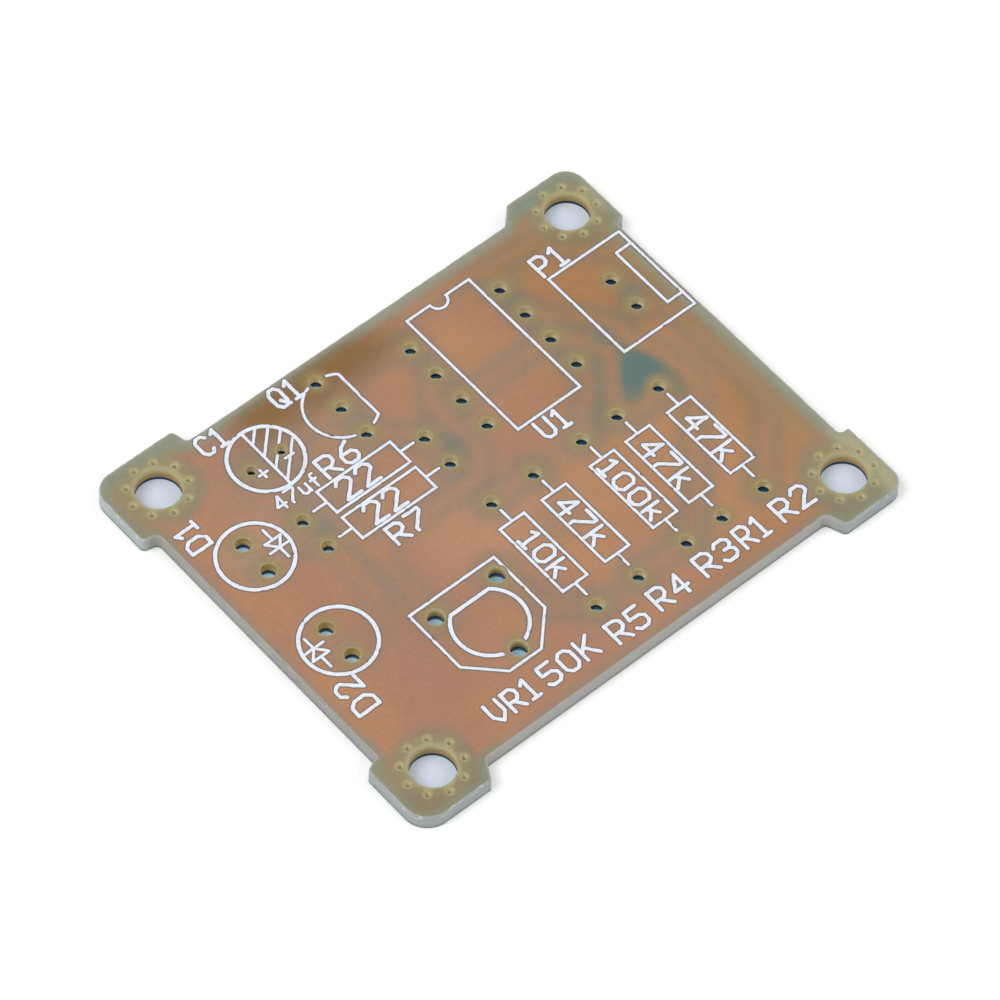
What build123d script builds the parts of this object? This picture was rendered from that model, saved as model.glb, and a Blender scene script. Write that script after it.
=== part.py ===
"""Bare circuit board of a small LED breathing-light kit.

A drilled glass-epoxy board with four eared corners, copper tracks and a copper pour on the
underside, a solder mask over them, and the component outlines printed on top in ink.
X runs the way the legend reads, Y up the legend, Z up. The origin is on the underside, in the
middle of the board. Lengths are in millimetres.
"""
import os
from math import atan2, cos, degrees, hypot, radians, sin
from build123d import *

# Board outline, and how far the ears stand out past the body on each side
board_length = 40.5
board_width = 33.0
left_step = 1.08
right_step = 0.76
top_step = 1.24
bottom_step = 1.42

# Layers, from the underside up
mask_thickness = 0.025
copper_thickness = 0.035
laminate_thickness = 1.14
ink_thickness = 0.02

# Ears: length along X, length along Y, and the slant of each inner end
ear_top_left_x = 6.85
ear_top_left_y = 5.45
ear_top_left_slant_x = 0.2
ear_top_left_slant_y = 0.25
ear_top_right_x = 5.4
ear_top_right_y = 5.5
ear_top_right_slant_x = 1.15
ear_top_right_slant_y = 0.4
ear_bottom_left_x = 5.5
ear_bottom_left_y = 5.45
ear_bottom_left_slant_x = 0.8
ear_bottom_left_slant_y = 0.4
ear_bottom_right_x = 5.15
ear_bottom_right_y = 5.55
ear_bottom_right_slant_x = 0.55

# Corner radii of the outline
outer_radius_top_left = 1.6
outer_radius_top_right = 1.45
outer_radius_bottom_right = 1.2
outer_radius_bottom_left = 1.8
soft_ear_radius = 0.4
crisp_ear_radius = 0.12

# Mounting holes, in from the board's edges, each ringed by small holes
mount_inset_left = 3.34
mount_inset_right = 2.61
mount_inset_top = 2.925
mount_inset_bottom = 3.075
mount_hole_diameter = 3.1
ring_hole_count = 9
ring_hole_diameter = 0.4
ring_radius = 2.05

# Lead holes on the common lead grid
lead_pitch = 2.54
chip_pins_per_row = 4
chip_row_pitches = 3
resistor_pitches = 4
trimmer_pitches = 2
lead_hole_diameter = 0.9
led_hole_diameter = 1.06
capacitor_hole_diameter = 0.7
trimmer_hole_diameter = 1.2

# Copper
track_width = 1.0
track_clearance = 0.45
pad_diameter = 1.9
trimmer_pad_diameter = 2.4
pour_border = 0.85
mount_keepout_radius = 2.9
mask_overlap = 0.1

# Printed outlines. The print lies a little up and to the right of the drilling
legend_shift_x = 0.03
legend_shift_y = 0.09
thin_line = 0.2
bold_line = 0.27
print_clearance = 0.14
resistor_legend_length = 6.11
resistor_legend_width = 2.03
resistor_legend_span = 8.3
led_legend_diameter = 5.35
capacitor_legend_diameter = 5.32
hatch_count = 4
hatch_pitch = 1.16
hatch_lift = 1.32
chip_legend_width = 5.29
chip_legend_length = 11.05
chip_notch_diameter = 1.35
connector_legend_length = 6.1
connector_legend_width = 7.5
connector_slot_length = 1.3
connector_slot_width = 5.1
connector_legend_offset = -0.16
trimmer_legend_length = 7.03
trimmer_legend_width = 7.14
trimmer_legend_corner = 2.2
trimmer_legend_offset = -0.31
trimmer_dial_offset = -0.19
trimmer_dial_diameter = 5.04
trimmer_dial_flat = 1.95
trimmer_dial_gap = 1.7
transistor_legend_diameter = 5.0
transistor_flat = 1.46
transistor_lead_gap = 1.4

# Middle of each footprint, as shares of half the board's length and width
footprint_shares = {
    "chip": (0.3138, 0.4779),
    "connector": (0.8009, 0.3847),
    "transistor": (-0.1906, 0.6682),
    "capacitor": (-0.5037, 0.6602),
    "led_a": (-0.7649, 0.3370),
    "led_b": (-0.7649, -0.1607),
    "trimmer": (-0.3502, -0.4650),
    "resistor_1": (0.4652, -0.3527),
    "resistor_2": (0.6402, -0.3527),
    "resistor_3": (0.3156, -0.3527),
    "resistor_4": (0.1145, -0.3527),
    "resistor_5": (-0.0599, -0.3527),
    "series_pair": (-0.3111, 0.2772),
}

# Bends of the tracks, as shares of half the board's length and width
bend_shares = {
    "reference": [(0.583, 0.303), (0.606, 0.190), (0.542, 0.094)],
    "divider": [(0.514, -0.079), (0.593, -0.079)],
    "oscillator_upper": [(0.612, 0.418), (0.679, 0.321), (0.696, 0.182), (0.741, 0.061),
                         (0.753, -0.097), (0.701, -0.200)],
    "oscillator_lower": [(0.593, -0.303), (0.523, -0.448), (0.420, -0.564)],
    "feedback": [(0.474, 0.145), (0.375, 0.030)],
    "ramp": [(0.049, 0.752), (-0.109, 0.752)],
    "ramp_capacitor": [(-0.321, 0.667)],
    "timing_side": [(0.037, 0.467), (0.037, 0.164)],
    "timing_middle": [(-0.025, 0.079), (-0.405, 0.079)],
    "timing_capacitor": [(-0.528, 0.570)],
    "led_a": [(-0.642, 0.261)],
    "led_b": [(-0.563, -0.097), (-0.662, -0.236)],
    "emitter": [(-0.119, 0.424)],
    "trimmer": [(-0.198, -0.412), (-0.188, -0.545)],
    "supply_edge": [(0.711, -0.576), (0.886, -0.339), (0.886, 0.206)],
    "supply_upper": [(0.899, 0.388), (0.899, 0.564), (0.800, 0.642), (0.721, 0.800)],
    "supply_top": [(0.543, 0.812)],
    "supply_collector": [(0.444, 0.855), (-0.128, 0.855)],
}

# Heights of the bends on the lane beside the lying resistors' left pads, as shares of half the width
lane_shares = {"timing_fork": 0.012, "timing_low": -0.218, "timing_high": 0.479}

half_length = board_length / 2
half_width = board_width / 2
lane = pad_diameter / 2 + track_clearance + track_width / 2
body_left = left_step - half_length
body_right = half_length - right_step
body_top = half_width - top_step
body_bottom = bottom_step - half_width
copper_z = mask_thickness
laminate_z = copper_z + copper_thickness
ink_z = laminate_z + laminate_thickness


def place(shares):
    """A point on the board from its shares of half the length and width."""
    return (shares[0] * half_length, shares[1] * half_width)


def at(point, shape):
    """The shape moved to a point of the board."""
    return Pos(point[0], point[1]) * shape


def union(shapes):
    """All the flat shapes as one."""
    total = Sketch()
    for shape in shapes:
        total = total + shape
    return total


def stroke(start, end, width):
    """A round-ended line of the given width."""
    run_x = end[0] - start[0]
    run_y = end[1] - start[1]
    middle = ((start[0] + end[0]) / 2, (start[1] + end[1]) / 2)
    turn = Rot(0, 0, degrees(atan2(run_y, run_x)))
    return at(middle, turn * SlotCenterToCenter(hypot(run_x, run_y), width))


def route(points, width):
    """Round-ended lines through all the points."""
    return union([stroke(a, b, width) for a, b in zip(points, points[1:])])


def ring(diameter, width):
    """A circle drawn with a line that lies inside the diameter."""
    return Circle(diameter / 2) - Circle(diameter / 2 - width)


def frame(length, width, line):
    """A rectangle drawn with a line centred on its sides."""
    return Rectangle(length + line, width + line) - Rectangle(length - line, width - line)


def layer(sketch, z, thickness):
    """A flat shape made into a layer at a height."""
    return Pos(0, 0, z) * extrude(sketch, thickness)


# Lead holes: name, place and diameter
def inline_holes(name, count, step, along, diameter):
    """Holes in a line, a step apart, about a footprint's middle."""
    middle = place(footprint_shares[name])
    found = {}
    for number in range(1, count + 1):
        reach = (number - (count + 1) / 2) * step
        point = (middle[0] + reach * along[0], middle[1] + reach * along[1])
        found[f"{name}_{number}"] = (point, diameter)
    return found


def chip_holes():
    """Two rows of holes, numbered down the left row and up the right one."""
    middle = place(footprint_shares["chip"])
    reach = chip_row_pitches * lead_pitch / 2
    pins = 2 * chip_pins_per_row
    found = {}
    for number in range(1, chip_pins_per_row + 1):
        y = middle[1] + ((chip_pins_per_row + 1) / 2 - number) * lead_pitch
        found[f"chip_{number}"] = ((middle[0] - reach, y), lead_hole_diameter)
        found[f"chip_{pins + 1 - number}"] = ((middle[0] + reach, y), lead_hole_diameter)
    return found


def trimmer_holes():
    """Two holes at the back and one in the middle of the front."""
    middle = place(footprint_shares["trimmer"])
    reach = trimmer_pitches * lead_pitch / 2
    places = [(-reach, reach), (reach, reach), (0, -reach)]
    return {
        f"trimmer_{number}": ((middle[0] + x, middle[1] + y), trimmer_hole_diameter)
        for number, (x, y) in enumerate(places, start=1)
    }


def series_holes():
    """The two lying resistors, one above the other and a pitch apart."""
    middle = place(footprint_shares["series_pair"])
    reach = resistor_pitches * lead_pitch / 2
    found = {}
    for name, side in lying_resistors.items():
        y = middle[1] + side * lead_pitch / 2
        found[f"{name}_1"] = ((middle[0] - reach, y), lead_hole_diameter)
        found[f"{name}_2"] = ((middle[0] + reach, y), lead_hole_diameter)
    return found


downwards = (0, -1)
rightwards = (1, 0)
lying_resistors = {"resistor_6": 1, "resistor_7": -1}
standing_resistors = [f"resistor_{number}" for number in range(1, 6)]
lead_holes = chip_holes() | trimmer_holes() | series_holes()
lead_holes |= inline_holes("connector", 2, lead_pitch, downwards, lead_hole_diameter)
lead_holes |= inline_holes("transistor", 3, lead_pitch, downwards, lead_hole_diameter)
lead_holes |= inline_holes("capacitor", 2, lead_pitch, rightwards, capacitor_hole_diameter)
lead_holes |= inline_holes("led_a", 2, lead_pitch, downwards, led_hole_diameter)
lead_holes |= inline_holes("led_b", 2, lead_pitch, downwards, led_hole_diameter)
for resistor in standing_resistors:
    span = resistor_pitches * lead_pitch
    lead_holes |= inline_holes(resistor, 2, span, downwards, lead_hole_diameter)

mount_places = [
    (x, y)
    for x in (mount_inset_left - half_length, half_length - mount_inset_right)
    for y in (mount_inset_bottom - half_width, half_width - mount_inset_top)
]


def hole(name):
    """Where a lead hole is."""
    return lead_holes[name][0]


def pad_size(name):
    """How wide the copper pad of a lead hole is."""
    return trimmer_pad_diameter if name.startswith("trimmer") else pad_diameter


# Board
def outline():
    """The edge of the board, clockwise from the top left ear."""
    corners = [
        (-half_length, half_width, outer_radius_top_left),
        (ear_top_left_x - half_length, half_width, soft_ear_radius),
        (ear_top_left_x + ear_top_left_slant_x - half_length, body_top, soft_ear_radius),
        (half_length - ear_top_right_x - ear_top_right_slant_x, body_top, soft_ear_radius),
        (half_length - ear_top_right_x, half_width, soft_ear_radius),
        (half_length, half_width, outer_radius_top_right),
        (half_length, half_width - ear_top_right_y, crisp_ear_radius),
        (body_right, half_width - ear_top_right_y - ear_top_right_slant_y, crisp_ear_radius),
        (body_right, ear_bottom_right_y - half_width, soft_ear_radius),
        (half_length, ear_bottom_right_y - half_width, crisp_ear_radius),
        (half_length, -half_width, outer_radius_bottom_right),
        (half_length - ear_bottom_right_x, -half_width, soft_ear_radius),
        (half_length - ear_bottom_right_x - ear_bottom_right_slant_x, body_bottom, soft_ear_radius),
        (ear_bottom_left_x + ear_bottom_left_slant_x - half_length, body_bottom, crisp_ear_radius),
        (ear_bottom_left_x - half_length, -half_width, crisp_ear_radius),
        (-half_length, -half_width, outer_radius_bottom_left),
        (-half_length, ear_bottom_left_y - half_width, soft_ear_radius),
        (body_left, ear_bottom_left_y + ear_bottom_left_slant_y - half_width, crisp_ear_radius),
        (body_left, half_width - ear_top_left_y - ear_top_left_slant_y, soft_ear_radius),
        (-half_length, half_width - ear_top_left_y, soft_ear_radius),
    ]
    points = [(x, y) for x, y, radius in corners]
    radii = [radius for x, y, radius in corners]
    return make_face(FilletPolyline(*points, radius=radii, close=True))


def drilling():
    """Every hole through the board, flat."""
    drilled = [at(point, Circle(diameter / 2)) for point, diameter in lead_holes.values()]
    for point in mount_places:
        drilled.append(at(point, Circle(mount_hole_diameter / 2)))
        for step in range(ring_hole_count):
            angle = radians(180 + step * 360 / ring_hole_count)
            around = (point[0] + ring_radius * cos(angle), point[1] + ring_radius * sin(angle))
            drilled.append(at(around, Circle(ring_hole_diameter / 2)))
    return union(drilled)


# Copper: each net is a set of runs; a run goes through holes and bends
def run(*items):
    """Points of a run: names of holes, of bends on the lane, and of bend lists."""
    points = []
    for item in items:
        if item in lead_holes:
            points.append(hole(item))
        elif item in lane_shares:
            points.append((hole("resistor_7_1")[0] + lane, lane_shares[item] * half_width))
        else:
            points += [place(shares) for shares in bend_shares[item]]
    return points


supply_corner = place(bend_shares["supply_top"][0])
nets = {
    "supply": [run("resistor_2_2", "supply_edge", "connector_2", "supply_upper", "supply_top", "chip_8"),
               [supply_corner] + run("supply_collector", "transistor_1")],
    "reference": [run("chip_3", "chip_6", "reference", "resistor_1_1", "divider", "resistor_2_1")],
    "oscillator": [run("chip_7", "oscillator_upper", "oscillator_lower", "resistor_3_2", "resistor_4_2")],
    "feedback": [run("chip_5", "feedback", "resistor_3_1")],
    "ramp": [run("chip_1", "ramp", "transistor_2", "ramp_capacitor", "capacitor_2")],
    "timing": [run("chip_2", "timing_side", "timing_middle", "timing_fork", "timing_low", "trimmer_1"),
               run("timing_fork", "timing_high", "timing_capacitor", "capacitor_1")],
    "led_a": [run("resistor_6_1", "led_a", "led_a_2")],
    "led_b": [run("resistor_7_1", "led_b", "led_b_2")],
    "emitter": [run("transistor_3", "emitter", "resistor_6_2", "resistor_7_2")],
    "trimmer": [run("trimmer_2", "trimmer", "resistor_5_2")],
    "link": [run("resistor_5_1", "resistor_4_1")],
}
open_patches = [
    run("chip_6", "reference", "resistor_1_1", "resistor_2_1") + run("chip_7", "oscillator_upper")[:0:-1],
    run("resistor_6_2", "resistor_7_2") + run("timing_side")[::-1],
]


def net_shape(runs, growth):
    """One net with its pads, grown by a clearance all round."""
    shapes = [route(points, track_width + 2 * growth) for points in runs]
    touched = {point for points in runs for point in points}
    for name in lead_holes:
        if hole(name) in touched:
            shapes.append(at(hole(name), Circle(pad_size(name) / 2 + growth)))
    return union(shapes)


def pour_shape():
    """The copper left between the tracks, inside the body's border; scraps under a pad's size go."""
    length = body_right - body_left - 2 * pour_border
    width = body_top - body_bottom - 2 * pour_border
    middle = ((body_left + body_right) / 2, (body_bottom + body_top) / 2)
    area = at(middle, Rectangle(length, width))
    area -= union([at(point, Circle(mount_keepout_radius)) for point in mount_places])
    area -= union([net_shape(runs, track_clearance) for runs in nets.values()])
    for corners in open_patches:
        area -= make_face(Polyline(*corners, close=True))
    return union([face for face in area.faces() if face.area > pad_diameter ** 2])


# Printed outlines
def resistor_legend():
    """A lying resistor: a box with a stub at each end."""
    shape = frame(resistor_legend_length, resistor_legend_width, thin_line)
    for side in (-1, 1):
        inner_end = (side * resistor_legend_length / 2, 0)
        outer_end = (side * resistor_legend_span / 2, 0)
        shape += stroke(inner_end, outer_end, thin_line)
    return shape


def led_legend():
    """A round lamp seen from above."""
    return ring(led_legend_diameter, bold_line)


def capacitor_legend():
    """A round can with its negative half hatched."""
    radius = capacitor_legend_diameter / 2
    half_disc = Circle(radius) & Pos(radius / 2, 0) * Rectangle(radius, capacitor_legend_diameter)
    lines = []
    for step in range(hatch_count):
        lift = hatch_lift - step * hatch_pitch
        lines.append(stroke((-radius, lift - radius), (radius, lift + radius), thin_line))
    chord = Rectangle(thin_line, capacitor_legend_diameter - bold_line)
    return ring(capacitor_legend_diameter, bold_line) + chord + (union(lines) & half_disc)


def chip_legend():
    """A chip with a half-round notch in its top end."""
    top = (0, chip_legend_length / 2)
    outer = Rectangle(chip_legend_width + thin_line, chip_legend_length + thin_line)
    inner = Rectangle(chip_legend_width - thin_line, chip_legend_length - thin_line)
    outer -= at(top, Circle((chip_notch_diameter - thin_line) / 2))
    inner -= at(top, Circle((chip_notch_diameter + thin_line) / 2))
    return outer - inner


def connector_legend():
    """A pin header with its latch slot on the outer side."""
    slot_middle = ((connector_legend_length - connector_slot_length) / 2, 0)
    slot = at(slot_middle, frame(connector_slot_length, connector_slot_width, thin_line))
    return frame(connector_legend_length, connector_legend_width, thin_line) + slot


def trimmer_case(growth):
    """A trimmer's case with its front corners cut off, grown all round."""
    x = trimmer_legend_length / 2 + growth
    y = trimmer_legend_width / 2 + growth
    cut = trimmer_legend_corner + growth * (2 - 2 ** 0.5)
    points = [(-x, y), (x, y), (x, cut - y), (x - cut, -y), (cut - x, -y), (-x, cut - y)]
    return make_face(Polyline(*points, close=True))


def trimmer_legend():
    """The line round the trimmer's case."""
    return trimmer_case(thin_line / 2) - trimmer_case(-thin_line / 2)


def trimmer_dial_legend():
    """The trimmer's dial: a ring with a flat back, open at the front."""
    radius = trimmer_dial_diameter / 2
    half_chord = (radius ** 2 - trimmer_dial_flat ** 2) ** 0.5
    beyond = Pos(0, trimmer_dial_flat + radius) * Rectangle(2 * radius, 2 * radius)
    opening = Pos(0, -radius) * Rectangle(trimmer_dial_gap, radius)
    shape = ring(trimmer_dial_diameter + bold_line, bold_line) - beyond - opening
    return shape + stroke((-half_chord, trimmer_dial_flat), (half_chord, trimmer_dial_flat), bold_line)


def transistor_legend():
    """A transistor's round back and flat face, open where its outer leads come through."""
    radius = transistor_legend_diameter / 2
    half_chord = (radius ** 2 - transistor_flat ** 2) ** 0.5
    beyond = Pos(transistor_flat + radius, 0) * Rectangle(2 * radius, 2 * transistor_legend_diameter)
    shape = ring(transistor_legend_diameter + thin_line, thin_line) - beyond
    shape += stroke((transistor_flat, -half_chord), (transistor_flat, half_chord), thin_line)
    return shape - Rectangle(transistor_lead_gap, 2 * transistor_legend_diameter)


def printed(name, shape, offset_x=0):
    """A printed outline over its footprint, shifted as the print is and kept off the holes."""
    middle = place(footprint_shares[name])
    shape = at((middle[0] + legend_shift_x + offset_x, middle[1] + legend_shift_y), shape)
    for point, diameter in lead_holes.values():
        shape -= at(point, Circle(diameter / 2 + print_clearance))
    return shape


def legends():
    """Every printed outline by the name of its node."""
    shapes = {
        "legend_chip": printed("chip", chip_legend()),
        "legend_connector": printed("connector", connector_legend(), connector_legend_offset),
        "legend_transistor": printed("transistor", transistor_legend()),
        "legend_capacitor": printed("capacitor", capacitor_legend()),
        "legend_led_a": printed("led_a", led_legend()),
        "legend_led_b": printed("led_b", led_legend()),
        "legend_trimmer": printed("trimmer", trimmer_legend(), trimmer_legend_offset),
        "legend_trimmer_dial": printed("trimmer", trimmer_dial_legend(), trimmer_dial_offset),
    }
    for name in standing_resistors:
        shapes[f"legend_{name}"] = printed(name, Rot(0, 0, 90) * resistor_legend())
    for name, side in lying_resistors.items():
        shape = Pos(0, side * lead_pitch / 2) * resistor_legend()
        shapes[f"legend_{name}"] = printed("series_pair", shape)
    return shapes


# Layers
holes = drilling()
edge = outline()
net_shapes = {name: net_shape(runs, 0) - holes for name, runs in nets.items()}
pour = pour_shape() - holes
copper = union(net_shapes.values()) + pour
pad_openings = union([
    at(hole(name), Circle(pad_size(name) / 2 - mask_overlap)) for name in lead_holes
])
cover = layer(edge - holes - pad_openings, 0, mask_thickness)
filling = layer(edge - holes - copper, copper_z, copper_thickness)

parts = {
    "board": layer(edge - holes, laminate_z, laminate_thickness),
    "copper_pour": layer(pour, copper_z, copper_thickness),
    "solder_mask": cover + filling,
}
for name, shape in net_shapes.items():
    parts[f"copper_{name}_track"] = layer(shape, copper_z, copper_thickness)
for name, shape in legends().items():
    parts[name] = layer(shape, ink_z, ink_thickness)

os.makedirs("parts", exist_ok=True)
for name, shape in parts.items():
    export_step(shape, f"parts/{name}.step")
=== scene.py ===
import math

import bpy
import numpy as np
from mathutils import Matrix, Vector, noise
from mathutils.geometry import delaunay_2d_cdt


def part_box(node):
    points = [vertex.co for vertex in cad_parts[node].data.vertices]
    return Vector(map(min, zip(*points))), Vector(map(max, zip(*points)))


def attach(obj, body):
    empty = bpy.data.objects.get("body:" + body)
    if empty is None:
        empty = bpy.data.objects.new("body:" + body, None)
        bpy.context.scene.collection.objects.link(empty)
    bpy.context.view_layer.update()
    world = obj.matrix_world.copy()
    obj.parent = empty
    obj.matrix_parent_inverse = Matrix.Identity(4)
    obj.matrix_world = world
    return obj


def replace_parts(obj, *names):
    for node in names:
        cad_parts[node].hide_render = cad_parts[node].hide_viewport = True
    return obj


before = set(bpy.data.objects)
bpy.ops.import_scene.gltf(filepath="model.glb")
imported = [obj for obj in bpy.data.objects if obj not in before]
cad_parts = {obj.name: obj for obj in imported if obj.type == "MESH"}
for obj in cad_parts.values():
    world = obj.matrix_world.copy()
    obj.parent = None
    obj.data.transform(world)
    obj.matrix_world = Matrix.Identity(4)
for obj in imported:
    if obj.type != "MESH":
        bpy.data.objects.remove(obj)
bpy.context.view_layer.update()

mm = 0.001

# Camera, with its angles in degrees
camera_azimuth = 43.147
camera_elevation = 55.878
camera_roll = 2.963
camera_distance = 428.27
camera_aim = (-0.71, -0.953, 1.2)
camera_clip = (10.0, 10000.0)
sensor_width = 36.0
lens_length = 242.045

# Holes larger than this across are mounting holes, and smaller than the other are ring holes.
# Those between are for leads
mount_hole_least = 2.0
ring_hole_most = 0.5
mount_sides, lead_sides, ring_sides = 56, 26, 14

# Laminate: face and holes
face_spacing = 0.22
face_edge_gap = 0.1
face_hole_gap = 0.06
drill_bevel = 0.035
around_hole_gaps = (0.1, 0.19, 0.32)
around_hole_more_sides = 6
bore_depth_shares = (0.03, 0.2, 0.3, 0.4, 0.48, 0.56, 0.66, 0.78, 0.84, 0.92, 1.0)
bevel_depth_share = 0.1

# Laminate: outer edge, with the widths of the ears along x and y
edge_spacing = 0.2
edge_bevel = 0.05
edge_chip = 0.16
edge_wear = 0.03
edge_depth_shares = (0.0, 0.12, 0.3, 0.5, 0.7, 0.88, 1.0)
chip_drop_share = 0.6
chip_least = 0.25
chipped_widths = (2.2, 2.4)
snapped_widths = (0.6, 0.9)
snapped_fade = 0.4

# How the copper shows through the laminate
raster_spacing = 0.1
raster_margin = 2
haze_narrow = 0.46
haze_wide = 0.95
haze_mask = 0.12
seen_shift = (0.36, 0.38)
seen_shift_border = 2.6
seen_shift_fade = 1.4

# Bare corners of the laminate, left and right, and bare ears
bare_reaches = (3.1, 3.9)
bare_fades = (0.85, 1.5)
bare_ear_reach = 5.2
bare_ear_from = (18.4, 14.3)
bare_ear_fade = 0.8

# How deep a bore's wall is lit: a share of a lead hole's width, at the left and right, within limits
bore_light_shares = (0.82, 0.74)
bore_light_depths = (0.66, 0.76)
mount_light_depth = 0.92
mount_darkness = 0.45
narrow_width = 1.2
narrow_fade = 0.8
lead_glow_reach = 0.85

# Solder mask
mask_spacing = 0.33
mask_gap = 0.12

# Print
print_spacing = 0.12
print_wobble = 0.028
print_shrink = 0.006
print_hole_gap = 0.1
letter_stroke = 0.245
symbol_stroke = 0.19
letter_gap_share = 0.34
letter_height_share = 0.9
# The dark fringe round the ink, painted shade along its edges: its width and its height share
edge_shade_width = 0.085
edge_shade_height_share = 0.3
round_end_points = 9

# Uneven edges: the pitch, seed and weight of each layer of noise
chip_noises = ((0.55, 3.0, 1.0), (0.17, 9.0, 0.4))
line_noises = ((0.45, 1.0, 0.6), (0.16, 5.0, 0.5))
stroke_noises = ((0.35, 7.0, 0.16), (0.14, 8.0, 0.1))
# The same for a single layer: pitch and seed
wear_pitch, wear_seed, wear_seed_step = 0.3, 20, 6
sway_pitch, sway_seed = 0.5, 2.0
# Bites out of the print: pitch, seed, the least noise that bites, its gain and the deepest bite
line_nicks = (0.5, 14.0, 0.42, 0.22)
line_breaks = (0.45, 41.0, 0.55, 1.6, 0.075)
stroke_nicks = (0.4, 31.0, 0.5, 1.2)

# Stage: lifts are how much brighter a thing is for the camera
floor_half = 2500.0
floor_level = -0.03
floor_colour = (0.9, 0.9, 0.9, 1)
floor_lift = 0.2
table_level = -0.015
table_margin = 0.3
table_ends = (-14, 10)
table_open_lift = 0.2
table_lift = 0.5
stage_roughness = 0.9
sky_light, sky_seen = 0.5, 1.0
# Lamps: name, place, size and power
lamps = (("key", (-420, 120, 620), 520, 3.0), ("fill", (380, -420, 520), 600, 1.5))

# Points this near each other count as one
flat_tolerance = 1e-4
place_decimals = 3
ring_weld = 1e-6
stroke_weld = 1e-5


def srgb(red, green, blue):
    """A colour from its sRGB levels, 0 to 255."""
    levels = [c / 255 for c in (red, green, blue)]
    return tuple(c / 12.92 if c <= 0.04045 else ((c + 0.055) / 1.055) ** 2.4 for c in levels) + (1.0,)


# Reading the frame

def flat_loops(node, upper=True):
    """Closed loops round the upper or lower flat face of a CAD node, as arrays of points."""
    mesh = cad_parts[node].data
    points = np.zeros(len(mesh.vertices) * 3, np.float32)
    mesh.vertices.foreach_get("co", points)
    points = points.reshape(-1, 3).astype(float) / mm
    mesh.calc_loop_triangles()
    corners = np.zeros(len(mesh.loop_triangles) * 3, np.int32)
    mesh.loop_triangles.foreach_get("vertices", corners)
    corners = corners.reshape(-1, 3)
    level = points[:, 2].max() if upper else points[:, 2].min()
    flat = np.all(np.abs(points[corners][:, :, 2] - level) < flat_tolerance, axis=1)
    places = np.round(points[:, :2], place_decimals)
    first, same = np.unique(places, axis=0, return_index=True, return_inverse=True)[1:]
    same = same.reshape(-1)
    edges = set()
    for a, b, c in same[corners[flat]]:
        edges.update(((a, b), (b, c), (c, a)))
    following = {a: b for a, b in edges if (b, a) not in edges}
    loops = []
    while following:
        start, here = following.popitem()
        loop = [start]
        while here != start:
            loop.append(here)
            here = following.pop(here)
        loops.append(points[first[loop], :2])
    return loops


def levels_of(node):
    """The lowest and highest level of a CAD node."""
    return (np.array(corner)[2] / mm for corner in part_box(node))


def circle_of(loop):
    """Centre and radius of a round loop."""
    low, high = loop.min(0), loop.max(0)
    centre = (low + high) / 2
    return centre[0], centre[1], (high - low).max() / 2


def loop_span(loop):
    return np.ptp(loop, axis=0).max()


def divided(loop, spacing):
    """A loop with its long sides cut into short ones."""
    points = []
    for a, b in zip(loop, np.roll(loop, -1, axis=0)):
        steps = max(1, math.ceil(np.linalg.norm(b - a) / spacing))
        points += [a + (b - a) * step / steps for step in range(steps)]
    return np.array(points)


def inward_normals(loop):
    """Unit vectors that point to the left of the way round a loop."""
    along = np.roll(loop, -1, axis=0) - np.roll(loop, 1, axis=0)
    along /= np.linalg.norm(along, axis=1)[:, None]
    return np.stack([-along[:, 1], along[:, 0]], axis=1)


def counterclockwise(loop):
    x, y = loop[:, 0], loop[:, 1]
    return loop if (x * np.roll(y, -1) - y * np.roll(x, -1)).sum() > 0 else loop[::-1]


def edge_distance(points, loop):
    """How far each point is from a closed loop."""
    nearest = np.full(len(points), np.inf)
    for a, b in zip(loop, np.roll(loop, -1, axis=0)):
        run = b - a
        share = np.clip(((points - a) @ run) / (run @ run), 0, 1)
        nearest = np.minimum(nearest, np.linalg.norm(points - a - share[:, None] * run, axis=1))
    return nearest


def inside(points, loops):
    """Which points are inside the loops, counted even and odd."""
    found = np.zeros(len(points), bool)
    for loop in loops:
        for a, b in zip(loop, np.roll(loop, -1, axis=0)):
            if a[1] == b[1]:
                continue
            spans = (points[:, 1] >= min(a[1], b[1])) & (points[:, 1] < max(a[1], b[1]))
            crossing = a[0] + (points[:, 1] - a[1]) * (b[0] - a[0]) / (b[1] - a[1])
            found ^= spans & (crossing > points[:, 0])
    return found


def is_mount(radius):
    return 2 * radius > mount_hole_least


def is_ring(radius):
    return 2 * radius < ring_hole_most


def is_lead(radius):
    return ring_hole_most < 2 * radius < mount_hole_least


board_low, board_high = (np.array(corner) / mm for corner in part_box("board"))
board_loops = sorted(flat_loops("board"), key=loop_span)
outline = counterclockwise(board_loops[-1])
drills = [circle_of(loop) for loop in board_loops[:-1]]
mounts, rings, leads = ([hole for hole in drills if test(hole[2])] for test in (is_mount, is_ring, is_lead))
copper_nodes = [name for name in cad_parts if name.startswith("copper_")]
legend_nodes = [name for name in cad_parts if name.startswith("legend_")]


# Where the copper is, as a soft picture of its cover

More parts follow.
